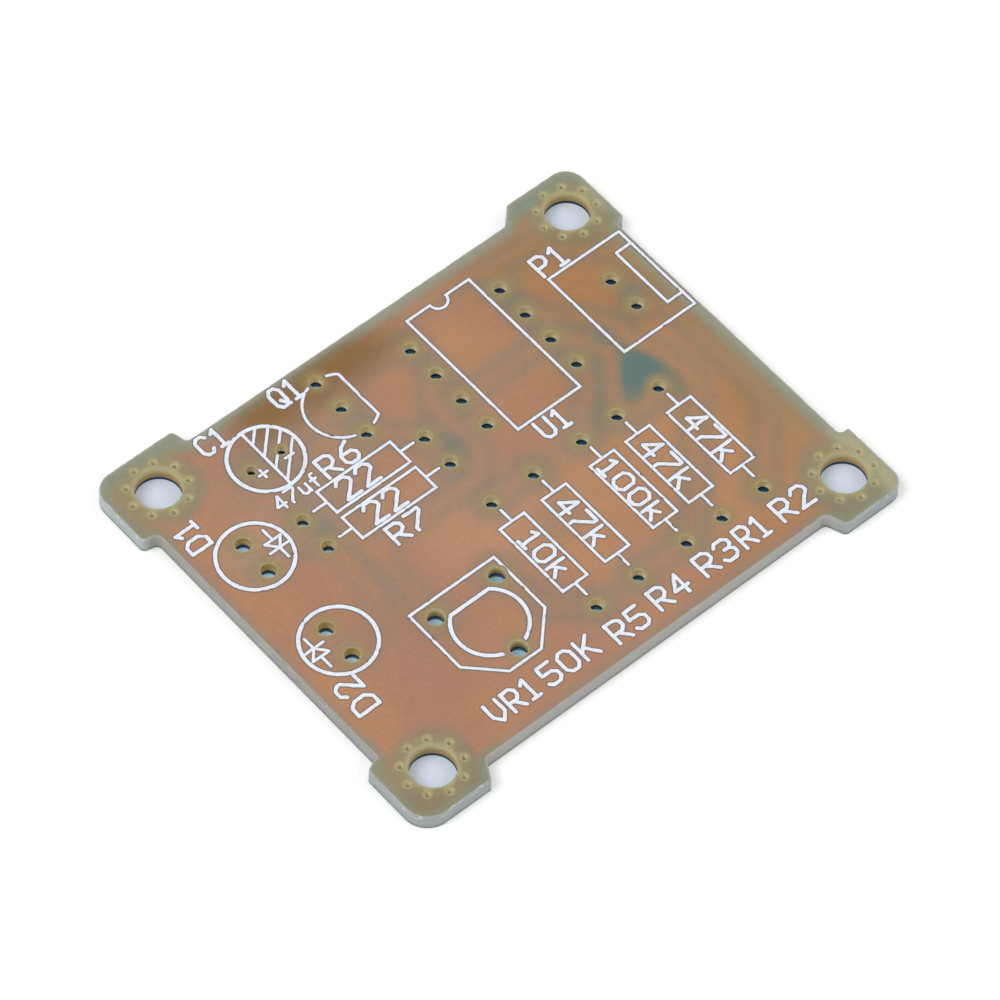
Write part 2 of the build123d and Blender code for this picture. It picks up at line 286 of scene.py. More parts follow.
class Cover:
    """The share of copper around each place on the board, blurred. Beyond the board it counts as
    copper, so that only gaps within the board show."""

    def __init__(self):
        self.low = board_low[:2] - raster_margin
        size = np.ceil((board_high[:2] + raster_margin - self.low) / raster_spacing).astype(int)
        x, y = (low + (np.arange(count) + 0.5) * raster_spacing for low, count in zip(self.low, size))
        self.solid = np.zeros((size[1], size[0]))
        for node in copper_nodes:
            loops = flat_loops(node)
            for row, level in enumerate(y):
                crossings = []
                for loop in loops:
                    a, b = loop, np.roll(loop, -1, axis=0)
                    cut = (a[:, 1] <= level) != (b[:, 1] <= level)
                    a, b = a[cut], b[cut]
                    ahead = (level - a[:, 1]) * (b[:, 0] - a[:, 0]) / (b[:, 1] - a[:, 1])
                    crossings += list(a[:, 0] + ahead)
                for start, end in zip(sorted(crossings)[::2], sorted(crossings)[1::2]):
                    self.solid[row, (x > start) & (x < end)] = 1
        places = np.stack(np.meshgrid(x, y), -1)
        beyond = ~inside(places.reshape(-1, 2), [outline])
        self.solid[beyond.reshape(self.solid.shape)] = 1

    def blurred(self, reach):
        """The cover softened over a reach, with bell-shaped weights out to three times the reach."""
        half = int(3 * reach / raster_spacing)
        weights = np.exp(-0.5 * (np.arange(-half, half + 1) * raster_spacing / reach) ** 2)
        weights /= weights.sum()
        soft = np.apply_along_axis(np.convolve, 1, self.solid, weights, "same")
        return np.apply_along_axis(np.convolve, 0, soft, weights, "same")

    def around(self, points, reach):
        """The softened cover at points."""
        picture = self.blurred(reach)
        spot = (points - self.low) / raster_spacing - 0.5
        cell = np.clip(np.floor(spot).astype(int), 0, np.array(picture.shape)[::-1] - 2)
        share = np.clip(spot - cell, 0, 1)
        x, y = cell[:, 0], cell[:, 1]
        lower = picture[y, x] * (1 - share[:, 0]) + picture[y, x + 1] * share[:, 0]
        upper = picture[y + 1, x] * (1 - share[:, 0]) + picture[y + 1, x + 1] * share[:, 0]
        return lower * (1 - share[:, 1]) + upper * share[:, 1]


cover = Cover()


# Meshes

def triangulated(rings, loose=np.zeros((0, 2))):
    """Triangles between closed rings, also through loose points. Gives points and triangles, with
    the rings' points first and in order."""
    points = np.concatenate([*rings, loose])
    sides, start = [], 0
    for ring in rings:
        count = len(ring)
        sides += [(start + step, start + (step + 1) % count) for step in range(count)]
        start += count
    found = delaunay_2d_cdt([Vector(p) for p in points], sides, [], 1, ring_weld)
    order = np.array([old[0] if old else -1 for old in found[3]])
    triangles = np.array([order[list(face)] for face in found[2]])
    return points, triangles[(triangles >= 0).all(axis=1)]


def ring_points(x, y, radius, count):
    turn = np.arange(count) * 2 * math.pi / count
    return np.stack([x + radius * np.cos(turn), y + radius * np.sin(turn)], axis=1)


def grid_points(spacing):
    x = np.arange(board_low[0], board_high[0], spacing)
    y = np.arange(board_low[1], board_high[1], spacing)
    return np.stack(np.meshgrid(x, y), -1).reshape(-1, 2)


def hole_distance(points, holes):
    """How far each point is outside the nearest hole's edge."""
    return np.min([np.linalg.norm(points - (x, y), axis=1) - r for x, y, r in holes], axis=0)


def hole_sides(radius):
    return mount_sides if is_mount(radius) else ring_sides if is_ring(radius) else lead_sides


def standing_out(points, widths):
    """How far each point is past the inner end of a border with these widths along x and y."""
    return (np.abs(points) - board_high[:2] + widths).max(axis=1)


def spaced(points, edge, holes, edge_gap, hole_gap):
    """The points within an edge that keep clear of it and of the holes."""
    clear = (edge_distance(points, edge) > edge_gap) & (hole_distance(points, holes) > hole_gap)
    return points[clear & inside(points, [edge])]


def outside_holes(flat, triangles, holes):
    return triangles[hole_distance(flat[triangles].mean(axis=1), holes) > 0]


def at_level(flat, level):
    """Flat points with a level, which is one for all or one for each."""
    return np.column_stack([flat, np.broadcast_to(level, len(flat))])


def add_piece(name, points, faces, materials, kinds=None, smooth=None):
    """A mesh piece that rides on the board."""
    mesh = bpy.data.meshes.new(name)
    mesh.from_pydata([Vector(p) * mm for p in points], [], [tuple(int(i) for i in f) for f in faces])
    for material in materials:
        mesh.materials.append(material)
    if kinds is not None:
        mesh.polygons.foreach_set("material_index", np.array(kinds, np.int32))
    if smooth is not None:
        mesh.polygons.foreach_set("use_smooth", np.array(smooth, bool))
    mesh.update()
    piece = bpy.data.objects.new(name, mesh)
    bpy.context.scene.collection.objects.link(piece)
    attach(piece, "root")
    return piece


def add_values(piece, name, values):
    attribute = piece.data.attributes.new(name, "FLOAT", "POINT")
    attribute.data.foreach_set("value", np.asarray(values, np.float32))


def wavy(place, pitch, seed):
    """Smooth noise from -1 to 1 at a place."""
    return noise.noise(Vector((place[0] / pitch, place[1] / pitch, seed)))


def layered(place, layers, start=0):
    """A start value and layers of noise at a place."""
    return sum((weight * wavy(place, pitch, seed) for pitch, seed, weight in layers), start)


def bitten(place, pitch, seed, least, gain, deepest=math.inf):
    """How deep a bite is at a place: none where the noise is less than the least."""
    return min(max(0.0, wavy(place, pitch, seed) - least) * gain, deepest)


def band(lower, upper):
    """Faces between two rings of point numbers."""
    count = len(lower)
    return [(lower[i], lower[(i + 1) % count], upper[(i + 1) % count], upper[i]) for i in range(count)]


def lit_depth(x, radius):
    """How deep a bore's wall is lit."""
    if not is_lead(radius):
        return mount_light_depth
    share = np.interp(x, (board_low[0], board_high[0]), bore_light_shares)
    return np.clip(share * 2 * radius, *bore_light_depths)


def laminate(materials):
    """The glass-epoxy plate: fine upper face, chipped edges, drilled holes and lower face."""
    face_kind, edge_kind, bore_kind = range(3)
    low, high = board_low[2], board_high[2]
    depth = high - low
    loop = divided(outline, edge_spacing)
    inward = inward_normals(loop)
    # The ears were snapped off a panel, so their edges are more chipped than the body's
    roughness = np.clip(standing_out(loop, chipped_widths), chip_least, 1)
    chips = np.array([max(0.0, layered(p, chip_noises)) for p in loop])
    inset = edge_bevel + edge_chip * roughness * chips
    upper_ring = loop + inward * inset[:, None]
    hole_rings = [ring_points(x, y, r + drill_bevel, hole_sides(r)) for x, y, r in drills]
    around = [ring_points(x, y, r + gap, hole_sides(r) + around_hole_more_sides)
              for x, y, r in drills for gap in around_hole_gaps]
    loose = np.concatenate([grid_points(face_spacing), *around])
    loose = spaced(loose, upper_ring, drills, face_edge_gap, face_hole_gap)
    flat, triangles = triangulated([upper_ring, *hole_rings], loose)
    triangles = outside_holes(flat, triangles, drills)
    points = [at_level(flat, high)]
    faces = [tuple(t) for t in triangles]
    kinds = [face_kind] * len(faces)
    total = len(flat)
    bore_shade, narrow = [np.zeros(total)], [np.zeros(total)]

    def add_ring(ring, level, darkness, narrowness):
        nonlocal total
        points.append(at_level(ring, level))
        bore_shade.append(np.full(len(ring), darkness))
        narrow.append(np.full(len(ring), narrowness))
        total += len(ring)
        return list(range(total - len(ring), total))

    # Outer wall, a little worn
    upper = list(range(len(loop)))
    drop = edge_bevel + chip_drop_share * (inset - edge_bevel)
    for share in edge_depth_shares:
        wear = np.array([wavy(p, wear_pitch, wear_seed + wear_seed_step * share) for p in loop])
        worn = loop + inward * (edge_wear * (0.5 + 0.5 * wear) * (share < 1))[:, None]
        ring = add_ring(worn, high - drop - (depth - drop) * share, 0, 0)
        faces += band(ring, upper)
        kinds += [edge_kind] * len(loop)
        upper = ring
    lower_rings = [(upper, loop)]

    # Holes
    start = len(loop)
    for (x, y, r), rim in zip(drills, hole_rings):
        upper = list(range(start, start + len(rim)))
        start += len(rim)
        lit = lit_depth(x, r)
        darkest = mount_darkness if is_mount(r) else 1
        narrowness = np.clip((narrow_width - 2 * r) / narrow_fade, 0, 1)
        circle = ring_points(x, y, r, len(rim))
        for share in bore_depth_shares:
            # The painted shade of the wall at this depth
            darkness = max(0.0, share * depth - lit) / (depth - lit) * darkest
            ring = add_ring(circle, high - depth * share, darkness, narrowness)
            faces += band(upper, ring)
            kinds += [face_kind if share < bevel_depth_share else bore_kind] * len(rim)
            upper = ring
        lower_rings.append((upper, circle))

    # Lower face
    flat, triangles = triangulated([ring for numbers, ring in lower_rings])
    triangles = outside_holes(flat, triangles, drills)
    numbers = np.concatenate([numbers for numbers, ring in lower_rings])
    faces += [tuple(numbers[t][::-1]) for t in triangles]
    kinds += [edge_kind] * len(triangles)

    points = np.concatenate(points)
    piece = add_piece("laminate", points, faces, materials, kinds, [kind > 0 for kind in kinds])
    laminate_values(piece, points[:, :2])
    add_values(piece, "bore_shade", np.concatenate(bore_shade))
    add_values(piece, "narrow", np.concatenate(narrow))
    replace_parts(piece, "board")


def laminate_values(piece, place):
    """What the laminate's paint needs to know at each place on the board."""
    # Through the thickness the pour's edge is seen a little nearer to the viewer's side
    border = edge_distance(place, outline)
    shifted = np.clip((seen_shift_border - border) / seen_shift_fade, 0, 1)
    seen = place + np.array(seen_shift) * shifted[:, None]
    add_values(piece, "cover", cover.around(seen, haze_narrow))
    add_values(piece, "open", 1 - cover.around(seen, haze_wide))
    for name, holes in (("collar", mounts), ("ringlet", rings), ("lead", leads)):
        add_values(piece, name, np.maximum(hole_distance(place, holes), 0))
    off_mount = hole_distance(place, [(x, y, 0) for x, y, r in mounts])
    outward = (np.abs(place) - bare_ear_from).max(axis=1)
    ear = np.clip((bare_ear_reach - off_mount) / bare_ear_fade, 0, 1) * np.clip(outward / bare_ear_fade, 0, 1)
    reach, fade = (np.where(place[:, 0] < 0, *pair) for pair in (bare_reaches, bare_fades))
    add_values(piece, "bare", np.maximum(np.clip((reach - off_mount) / fade, 0, 1), ear))
    add_values(piece, "border", edge_distance(place + np.array(seen_shift) / 2, outline))
    add_values(piece, "brink", border)
    add_values(piece, "snapped", np.clip(standing_out(place, snapped_widths) / snapped_fade, 0, 1))


def film(materials):
    """The solder mask on the underside, with an opening at each pad."""
    low, high = levels_of("solder_mask")
    loops = sorted(flat_loops("solder_mask", upper=False), key=loop_span)
    edge = divided(counterclockwise(loops[-1]), edge_spacing)
    openings = [circle_of(loop) for loop in loops[:-1]]
    walls = [edge, *(ring_points(x, y, r, hole_sides(r)) for x, y, r in openings)]
    loose = spaced(grid_points(mask_spacing), edge, openings, mask_gap, mask_gap)
    flat, triangles = triangulated(walls, loose)
    points = [at_level(flat, low)]
    faces = [tuple(t[::-1]) for t in outside_holes(flat, triangles, openings)]
    total, start = len(flat), 0
    for ring in walls:
        points.append(at_level(ring, high))
        faces += band(list(range(start, start + len(ring))), list(range(total, total + len(ring))))
        start += len(ring)
        total += len(ring)
    points = np.concatenate(points)
    piece = add_piece("mask_film", points, faces, materials)
    add_values(piece, "cover", cover.around(points[:, :2], haze_mask))
    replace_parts(piece, "solder_mask")


def raised_print(name, flat, triangles, low, high, material):
    """Flat triangles raised into a layer of ink with side walls."""
    points = np.concatenate([at_level(flat, level) for level in (high, low)])
    count = len(flat)
    sides = set()
    for a, b, c in triangles:
        sides.update(((a, b), (b, c), (c, a)))
    faces = [tuple(t) for t in triangles]
    faces += [(a, a + count, b + count, b) for a, b in sorted(sides) if (b, a) not in sides]
    piece = add_piece(name, points, faces, [material])
    return piece


def raised_rings(name, rings, low, high, material):
    """Ink within rings, counted even and odd."""
    flat, triangles = triangulated(rings)
    triangles = triangles[inside(flat[triangles].mean(axis=1), rings)]
    return raised_print(name, flat, triangles, low, high, material)


def printed_outline(node, material, edge_shade):
    """A CAD outline as it prints: the same lines with slightly uneven edges, a few nicks, and a thin
    dark fringe round them that is painted shade along the ink's edges."""
    rings, edge_shade_rings = [], []
    for loop in flat_loops(node):
        loop = divided(loop, print_spacing)
        shift = np.array([layered(p, line_noises) * print_wobble + bitten(p, *line_nicks)
                          + bitten(p, *line_breaks) + print_shrink for p in loop])
        rings.append(loop + inward_normals(loop) * shift[:, None])
        edge_shade_rings.append(loop - inward_normals(loop) * edge_shade_width)
    low, high = levels_of(node)
    name = node.replace("legend_", "print_")
    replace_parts(raised_rings(name, rings, low, high, material), node)
    raised_rings(f"{name}_fringe", edge_shade_rings, low, low + (high - low) * edge_shade_height_share, edge_shade)


# Lettering: strokes of each letter on a box one unit high
letter_strokes = {
    "0": [[(0, .2), (0, .8), (.2, 1), (.5, 1), (.7, .8), (.7, .2), (.5, 0), (.2, 0), (0, .2)]],
    "1": [[(.05, .82), (.3, 1), (.3, 0)], [(.05, 0), (.55, 0)]],
    "2": [[(0, .8), (.18, 1), (.52, 1), (.7, .82), (.7, .66), (0, 0), (.7, 0)]],
    "3": [[(0, .84), (.16, 1), (.52, 1), (.7, .84), (.7, .66), (.54, .52), (.3, .52)],
          [(.54, .52), (.7, .36), (.7, .16), (.52, 0), (.16, 0), (0, .16)]],
    "4": [[(.52, 0), (.52, 1), (0, .32), (.72, .32)]],
    "5": [[(.66, 1), (.04, 1), (0, .58), (.5, .58), (.7, .42), (.7, .16), (.52, 0), (.16, 0), (0, .14)]],
    "6": [[(.62, 1), (.3, .86), (0, .48), (0, .18), (.18, 0), (.52, 0), (.7, .18), (.7, .36), (.54, .52),
           (.06, .52)]],
    "7": [[(0, 1), (.7, 1), (.7, .84), (.08, .16), (.08, 0)]],
    "C": [[(.7, .82), (.52, 1), (.2, 1), (0, .8), (0, .2), (.2, 0), (.52, 0), (.7, .18)]],
    "D": [[(0, 0), (0, 1), (.46, 1), (.7, .74), (.7, .26), (.46, 0), (0, 0)]],
    "K": [[(0, 0), (0, 1)], [(.7, 1), (0, .38)], [(.24, .58), (.7, 0)]],
    "P": [[(0, 0), (0, 1), (.5, 1), (.7, .84), (.7, .6), (.5, .44), (0, .44)]],
    "Q": [[(0, .2), (0, .8), (.2, 1), (.5, 1), (.7, .8), (.7, .2), (.5, 0), (.2, 0), (0, .2)],
          [(.38, .34), (.7, 0)]],
    "R": [[(0, 0), (0, 1), (.5, 1), (.7, .84), (.7, .6), (.5, .44), (0, .44)], [(.28, .44), (.7, 0)]],
    "U": [[(0, 1), (0, .2), (.2, 0), (.5, 0), (.7, .2), (.7, 1)]],
    "V": [[(0, 1), (0, .34), (.34, 0), (.7, .34), (.7, 1)]],
    "f": [[(.52, 1), (.36, 1), (.26, .88), (.26, 0)], [(.04, .58), (.5, .58)]],
    "k": [[(0, 0), (0, 1)], [(.5, .68), (0, .26)], [(.18, .42), (.56, 0)]],
    "u": [[(0, .66), (0, .16), (.16, 0), (.36, 0), (.56, .2)], [(.56, .66), (.56, 0)]],
}

# Words: lettering, low corner, high corner and the turn of its reading direction in degrees
words = [
    ("C1", (-13.1, 13.37), (-11.04, 15.1), 0),
    ("Q1", (-7.1, 13.22), (-4.98, 15.04), 0),
    ("P1", (12.85, 10.38), (15.18, 12.2), 0),
    ("U1", (4.62, 0.53), (6.85, 2.26), 0),
    ("R6", (-8.12, 7.1), (-5.2, 8.95), 0),
    ("22", (-8.25, 5.07), (-5.32, 6.92), 0),
    ("22", (-8.08, 2.53), (-5.2, 4.38), 0),
    ("R7", (-7.97, 0.44), (-5.09, 2.12), 0),
    ("VR1", (-11.85, -13.82), (-8.12, -12.0), 0),
    ("50K", (-7.53, -13.82), (-3.18, -12.0), 0),
    ("R5", (-2.09, -14.18), (0.76, -12.32), 0),
    ("R4", (1.59, -13.97), (4.44, -12.15), 0),
    ("R3", (5.5, -13.91), (8.5, -12.06), 0),
    ("R1", (8.88, -13.91), (11.15, -12.06), 0),
    ("R2", (12.09, -13.91), (14.97, -12.06), 0),
    ("D1", (-18.56, 8.09), (-16.79, 10.44), 90),
    ("D2", (-18.2, -7.85), (-16.3, -5.0), 90),
    ("10k", (-2.03, -7.79), (-0.38, -3.91), -90),
    ("47k", (1.44, -7.5), (3.15, -3.38), -90),
    ("100k", (5.52, -8.38), (7.1, -2.94), -90),
    ("47k", (8.52, -7.65), (10.28, -3.44), -90),
    ("47k", (12.05, -7.8), (13.87, -3.68), -90),
]
small_word = ("47uf", (-12.09, 7.15), (-8.56, 8.38), 0)

# Marks inside the outlines: the capacitor's polarity and the two lamp symbols
mark_strokes = [
    [(-11.38, 10.22), (-10.7, 10.22)],
    [(-11.04, 9.88), (-11.04, 10.56)],
    [(-9.2, 10.22), (-8.52, 10.22)],
]
bar_half, base_half = 0.8, 0.64
for axis, tail, bar, base, head in ((-13.82, 4.31, 5.19, 5.92, 6.89), (-17.07, -1.12, -2.03, -2.78, -3.74)):
    mark_strokes += [
        [(axis, tail), (axis, bar)],
        [(axis, base), (axis, head)],
        [(axis - bar_half, bar), (axis + bar_half, bar)],
        [(axis - base_half, base), (axis + base_half, base), (axis, bar), (axis - base_half, base)],
    ]


def word_lines(text, low, high, turn, stroke):
    """The strokes of a word that fills a box on the board."""
    low, high = np.array(low) + stroke / 2, np.array(high) - stroke / 2
    size = (high - low) if turn == 0 else (high - low)[::-1]
    widths = [max(x for line in letter_strokes[c] for x, y in line) for c in text]
    scale = size[0] / (sum(widths) + letter_gap_share * (len(text) - 1))
    lines, start = [], 0.0
    for letter, width in zip(text, widths):
        for line in letter_strokes[letter]:
            along = [((start + x) * scale, y * size[1]) for x, y in line]
            if turn == 0:
                lines.append([(low[0] + a, low[1] + b) for a, b in along])
            elif turn > 0:
                lines.append([(high[0] - b, low[1] + a) for a, b in along])
            else:
                lines.append([(low[0] + b, high[1] - a) for a, b in along])
        start += width + letter_gap_share
    return lines


def stroke_faces(line, width):
    """Short quads and round ends along a stroke of uneven width, as lists of points."""
    shapes = []
    for a, b in zip(np.array(line[:-1], float), np.array(line[1:], float)):
        length = np.linalg.norm(b - a)
        along = (b - a) / length
        side = np.array([-along[1], along[0]])
        steps = max(2, math.ceil(length / print_spacing))
        rows = []
        for step in range(steps + 1):
            middle = a + (b - a) * step / steps
            uneven = layered(middle, stroke_noises, 1)
            nick = 1 - bitten(middle, *stroke_nicks)
            sway = side * print_wobble * wavy(middle, sway_pitch, sway_seed)
            rows.append((middle + sway, side * width / 2 * uneven * nick))
        for (p, reach), (q, next_reach) in zip(rows, rows[1:]):
            shapes.append([p - reach, q - next_reach, q + next_reach, p + reach])
        for (p, reach), turn in ((rows[0], math.pi / 2), (rows[-1], -math.pi / 2)):
            radius = np.linalg.norm(reach)
            heading = math.atan2(along[1], along[0]) + turn
            angles = heading + np.linspace(0, math.pi, round_end_points)
            shapes.append([p + radius * np.array([math.cos(t), math.sin(t)]) for t in angles])
    return shapes


def printed_strokes(name, strokes, height_share, material):
    """Strokes of ink joined into one layer. Each entry is a line and its width."""
    points, faces = [], []
    for line, width in strokes:
        for shape in stroke_faces(line, width):
            faces.append(list(range(len(points), len(points) + len(shape))))
            points += [Vector(p) for p in shape]
    found = delaunay_2d_cdt(points, [], faces, 1, stroke_weld)
    flat = np.array([tuple(p) for p in found[0]])
    triangles = np.array([face for face, origin in zip(found[2], found[5]) if origin])
    clear = hole_distance(flat[triangles].mean(axis=1), drills) > print_hole_gap
    low, high = levels_of("legend_chip")
    raised_print(name, flat, triangles[clear], low, low + (high - low) * height_share, material)


# Materials. Their places and pitches are in millimetres too

class Paint:
    """A procedural material and short ways to add its nodes."""

    def __init__(self, name, **values):
        self.material = bpy.data.materials.new(name)
        self.material.use_nodes = True
        self.tree = self.material.node_tree
        self.shader = self.tree.nodes["Principled BSDF"]
        for key, value in values.items():
            self.put(self.shader.inputs[key.replace("_", " ")], value)

    def put(self, socket, value):
        if isinstance(value, bpy.types.NodeSocket):
            self.tree.links.new(value, socket)
        else:
            socket.default_value = value

    def node(self, kind, output, settings=None, **inputs):
        """An output of a new node. An input called i and a number is meant by its number."""
        made = self.tree.nodes.new(kind)
        for key, value in (settings or {}).items():
            setattr(made, key, value)
        for key, value in inputs.items():
            self.put(made.inputs[int(key[1:]) if key[1:].isdigit() else key], value)
        return made.outputs[output]

    def places(self, stretch=(1, 1, 1)):
        """The object's own coordinates in millimetres."""
        coords = self.node("ShaderNodeTexCoord", "Object")
        scale = tuple(s / mm for s in stretch)
        return self.node("ShaderNodeVectorMath", 0, {"operation": "MULTIPLY"}, i0=coords, i1=scale)

    def split(self, vector):
        """The x, y and z of a vector."""
        made = self.tree.nodes.new("ShaderNodeSeparateXYZ")
        self.put(made.inputs[0], vector)
        return tuple(made.outputs)

    def axes(self):
        return self.split(self.places())

    def value(self, name):
        return self.node("ShaderNodeAttribute", "Fac", {"attribute_name": name})

    def noise(self, pitch, detail=2.0, roughness=0.5, stretch=(1, 1, 1)):
        return self.node("ShaderNodeTexNoise", 0, Vector=self.places(stretch), Scale=1 / pitch,
                         Detail=detail, Roughness=roughness)

    def math(self, operation, a, b=0.0, c=0.0):
        return self.node("ShaderNodeMath", 0, {"operation": operation}, i0=a, i1=b, i2=c)

    def plus(self, a, b):
        return self.math("ADD", a, b)

    def times(self, a, b):
        return self.math("MULTIPLY", a, b)

    def most(self, a, b):
        return self.math("MAXIMUM", a, b)

    def ramp(self, value, start, end, low=0.0, high=1.0):
        """A smooth step from low to high as the value goes from start to end."""
        return self.node("ShaderNodeMapRange", 0, {"interpolation_type": "SMOOTHSTEP"},
                         i0=value, i1=start, i2=end, i3=low, i4=high)

    def spot(self, x, y, outer, inner, share=1.0):
        """A soft round spot on the upper face: none at the outer reach, the share at the inner one."""
        away = self.node("ShaderNodeVectorMath", "Value", {"operation": "DISTANCE"},
                         i0=self.places(), i1=(x, y, board_high[2]))
        return self.ramp(away, outer, inner, 0, share)

    def mix(self, share, a, b, blend="MIX"):
        made = self.tree.nodes.new("ShaderNodeMix")
        made.data_type = "RGBA"
        made.blend_type = blend
        self.put(made.inputs[0], share)
        self.put(made.inputs[6], a)
        self.put(made.inputs[7], b)
        return made.outputs[2]

    def grey(self, value):
        """A value as a colour."""
        return self.node("ShaderNodeCombineColor", 0, i0=value, i1=value, i2=value)

    def bump(self, height, strength, distance):
        made = self.tree.nodes.new("ShaderNodeBump")
        made.inputs["Strength"].default_value = strength
        made.inputs["Distance"].default_value = distance * mm
        self.put(made.inputs["Height"], height)
        self.put(self.shader.inputs["Normal"], made.outputs[0])

    def finish(self, colour, roughness):
        self.put(self.shader.inputs["Base Color"], colour)
        self.put(self.shader.inputs["Roughness"], roughness)
        return self.material


def copper_tone(paint, x):
    """Copper under the resin: redder at the left and browner at the right, with a painted highlight that
    makes it palest in the middle.
    """
    drift = paint.noise(9.0, 2, 0.5)
    copper = paint.mix(paint.ramp(x, -16, -2), srgb(166, 121, 95), srgb(170, 125, 98))
    copper = paint.mix(paint.ramp(x, 1, 16), copper, srgb(168, 119, 75))
    copper = paint.mix(paint.ramp(drift, 0.35, 0.7), copper, srgb(181, 131, 94))
    # A painted highlight: a soft pale spot in the middle of the board
    return paint.mix(paint.spot(-3, -1, 6.5, 1.5, 0.6), copper, srgb(188, 141, 108))


def painted_rim_light(paint, x, y):
    """Painted light: where the ears at the right are brightest, near their upper and lower rims."""
    upper = paint.times(paint.ramp(y, 11.5, 13, 0, 0.7), paint.ramp(y, 15, 13.8))
    either = paint.most(paint.ramp(y, -9, -11, 0, 0.8), upper)
    return paint.times(paint.ramp(x, 18.3, 19.5), either)


def bare_tone(paint, x, y, mottle, rim_light):
    """Bare laminate at the corners: brownish round the mounting holes, bluish towards the long
    upper edge and duller towards the lower one."""
    reach = paint.plus(y, paint.ramp(mottle, 0.25, 0.75, -0.5, 0.5))
    bluish = paint.mix(paint.ramp(x, -10, 10), srgb(138, 140, 121), srgb(121, 145, 127))
    start, end = paint.ramp(x, -6, 6, 15.0, 14.4), paint.ramp(x, -6, 6, 16.3, 15.9)
    bare = paint.mix(paint.ramp(reach, start, end), srgb(145, 130, 100), bluish)
    bare = paint.mix(paint.spot(16, 11, 3.4, 1.2, 0.6), bare, srgb(134, 111, 72))
    lower = paint.mix(paint.ramp(x, -4, 4), srgb(134, 122, 95), srgb(133, 127, 101))
    bare = paint.mix(paint.ramp(reach, -13, -15), bare, lower)
    # Painted light at the bright rims of the right ears
    return paint.mix(rim_light, bare, srgb(170, 166, 130))


def gap_tone(paint, x, bare):
    """Places without copper: wide gaps are teal, narrow ones olive, and the corners bare."""
    olive = paint.mix(paint.ramp(x, 6, 15), srgb(118, 120, 107), srgb(124, 117, 92))
    wide = paint.times(paint.ramp(paint.value("open"), 0.42, 0.7), paint.ramp(paint.value("brink"), 1.8, 3.2))
    return paint.mix(paint.value("bare"), paint.mix(wide, olive, srgb(94, 115, 110)), bare)


def gap_share(paint, x, y, mottle):
    """How much the gaps show: less where the cloth is hazier and along the edges."""
    shown = paint.math("SUBTRACT", 1.06, paint.value("cover"))
    shown = paint.plus(shown, paint.ramp(mottle, 0.25, 0.75, -0.04, 0.04))
    fade = paint.most(paint.ramp(x, -15, -3, 0.55, 1.0), paint.ramp(y, 2, 5, 0.55, 1.0))
    fade = paint.times(fade, paint.ramp(x, 4, 9, 1.0, 1.2))
    fade = paint.times(fade, paint.ramp(paint.value("brink"), 1.0, 2.6, 0.4, 1))
    shown = paint.most(paint.times(shown, fade), paint.value("bare"))
    return paint.node("ShaderNodeClamp", 0, i0=shown)


def clouded(paint, colour):
    """A colour with cloudy resin, dimmer copper where gaps meet, and bluer spots."""
    clouds, wisps = paint.noise(2.0, 3, 0.6), paint.noise(1.1, 3, 0.6)
    haze = paint.times(paint.spot(-10, 8, 7, 2.5), paint.ramp(clouds, 0.3, 0.7, 0.15, 0.6))
    colour = paint.mix(haze, colour, srgb(150, 130, 109))
    dull = paint.times(paint.spot(-15.2, 5.8, 3.4, 0.8), paint.ramp(wisps, 0.35, 0.65, 0.15, 0.75))
    colour = paint.mix(dull, colour, srgb(163, 141, 118))
    dim = paint.most(paint.spot(-7, 5.5, 3.2, 1, 0.5), paint.spot(1.2, -4.4, 2.6, 0.8, 0.5))
    colour = paint.mix(dim, colour, srgb(146, 123, 102))
    bluer = paint.most(paint.spot(16.6, 5.9, 1.3, 0.2, 0.7), paint.spot(-0.3, 4, 1.4, 0.3, 0.6))
    bluer = paint.most(bluer, paint.spot(12.8, 4.5, 1.3, 0.2, 0.55))
    return paint.mix(bluer, colour, srgb(114, 121, 110))


def edge_tinted(paint, colour, x, y, far_sheen, rim_light):
    """A colour with the light that comes in at the edges: olive at the right, brown at the long
    upper edge and pale along every border."""
    olive = paint.times(paint.ramp(x, 16.2, 19.2, 0, 0.62), paint.ramp(y, -12, -9))
    colour = paint.mix(olive, colour, srgb(141, 129, 95))
    brown = paint.times(paint.ramp(y, 10.6, 13.5, 0, 0.88), paint.ramp(x, 5, -1))
    brown = paint.times(brown, paint.ramp(x, -12, -8.5))
    colour = paint.mix(brown, colour, srgb(127, 93, 50))
    # Along the border the colour turns a greyer green with the painted sheen on the far side
    edging = paint.mix(far_sheen, srgb(148, 128, 111), srgb(143, 147, 131))
    edging = paint.mix(paint.times(brown, paint.ramp(x, 2, -1)), edging, srgb(124, 116, 86))
    edging = paint.mix(paint.value("bare"), edging, srgb(134, 139, 119))
    # Painted light at the bright rims of the right ears
    edging = paint.mix(rim_light, edging, srgb(172, 168, 133))
    return paint.mix(paint.ramp(paint.value("border"), 0.1, 1.1, 0.85, 0), colour, edging)


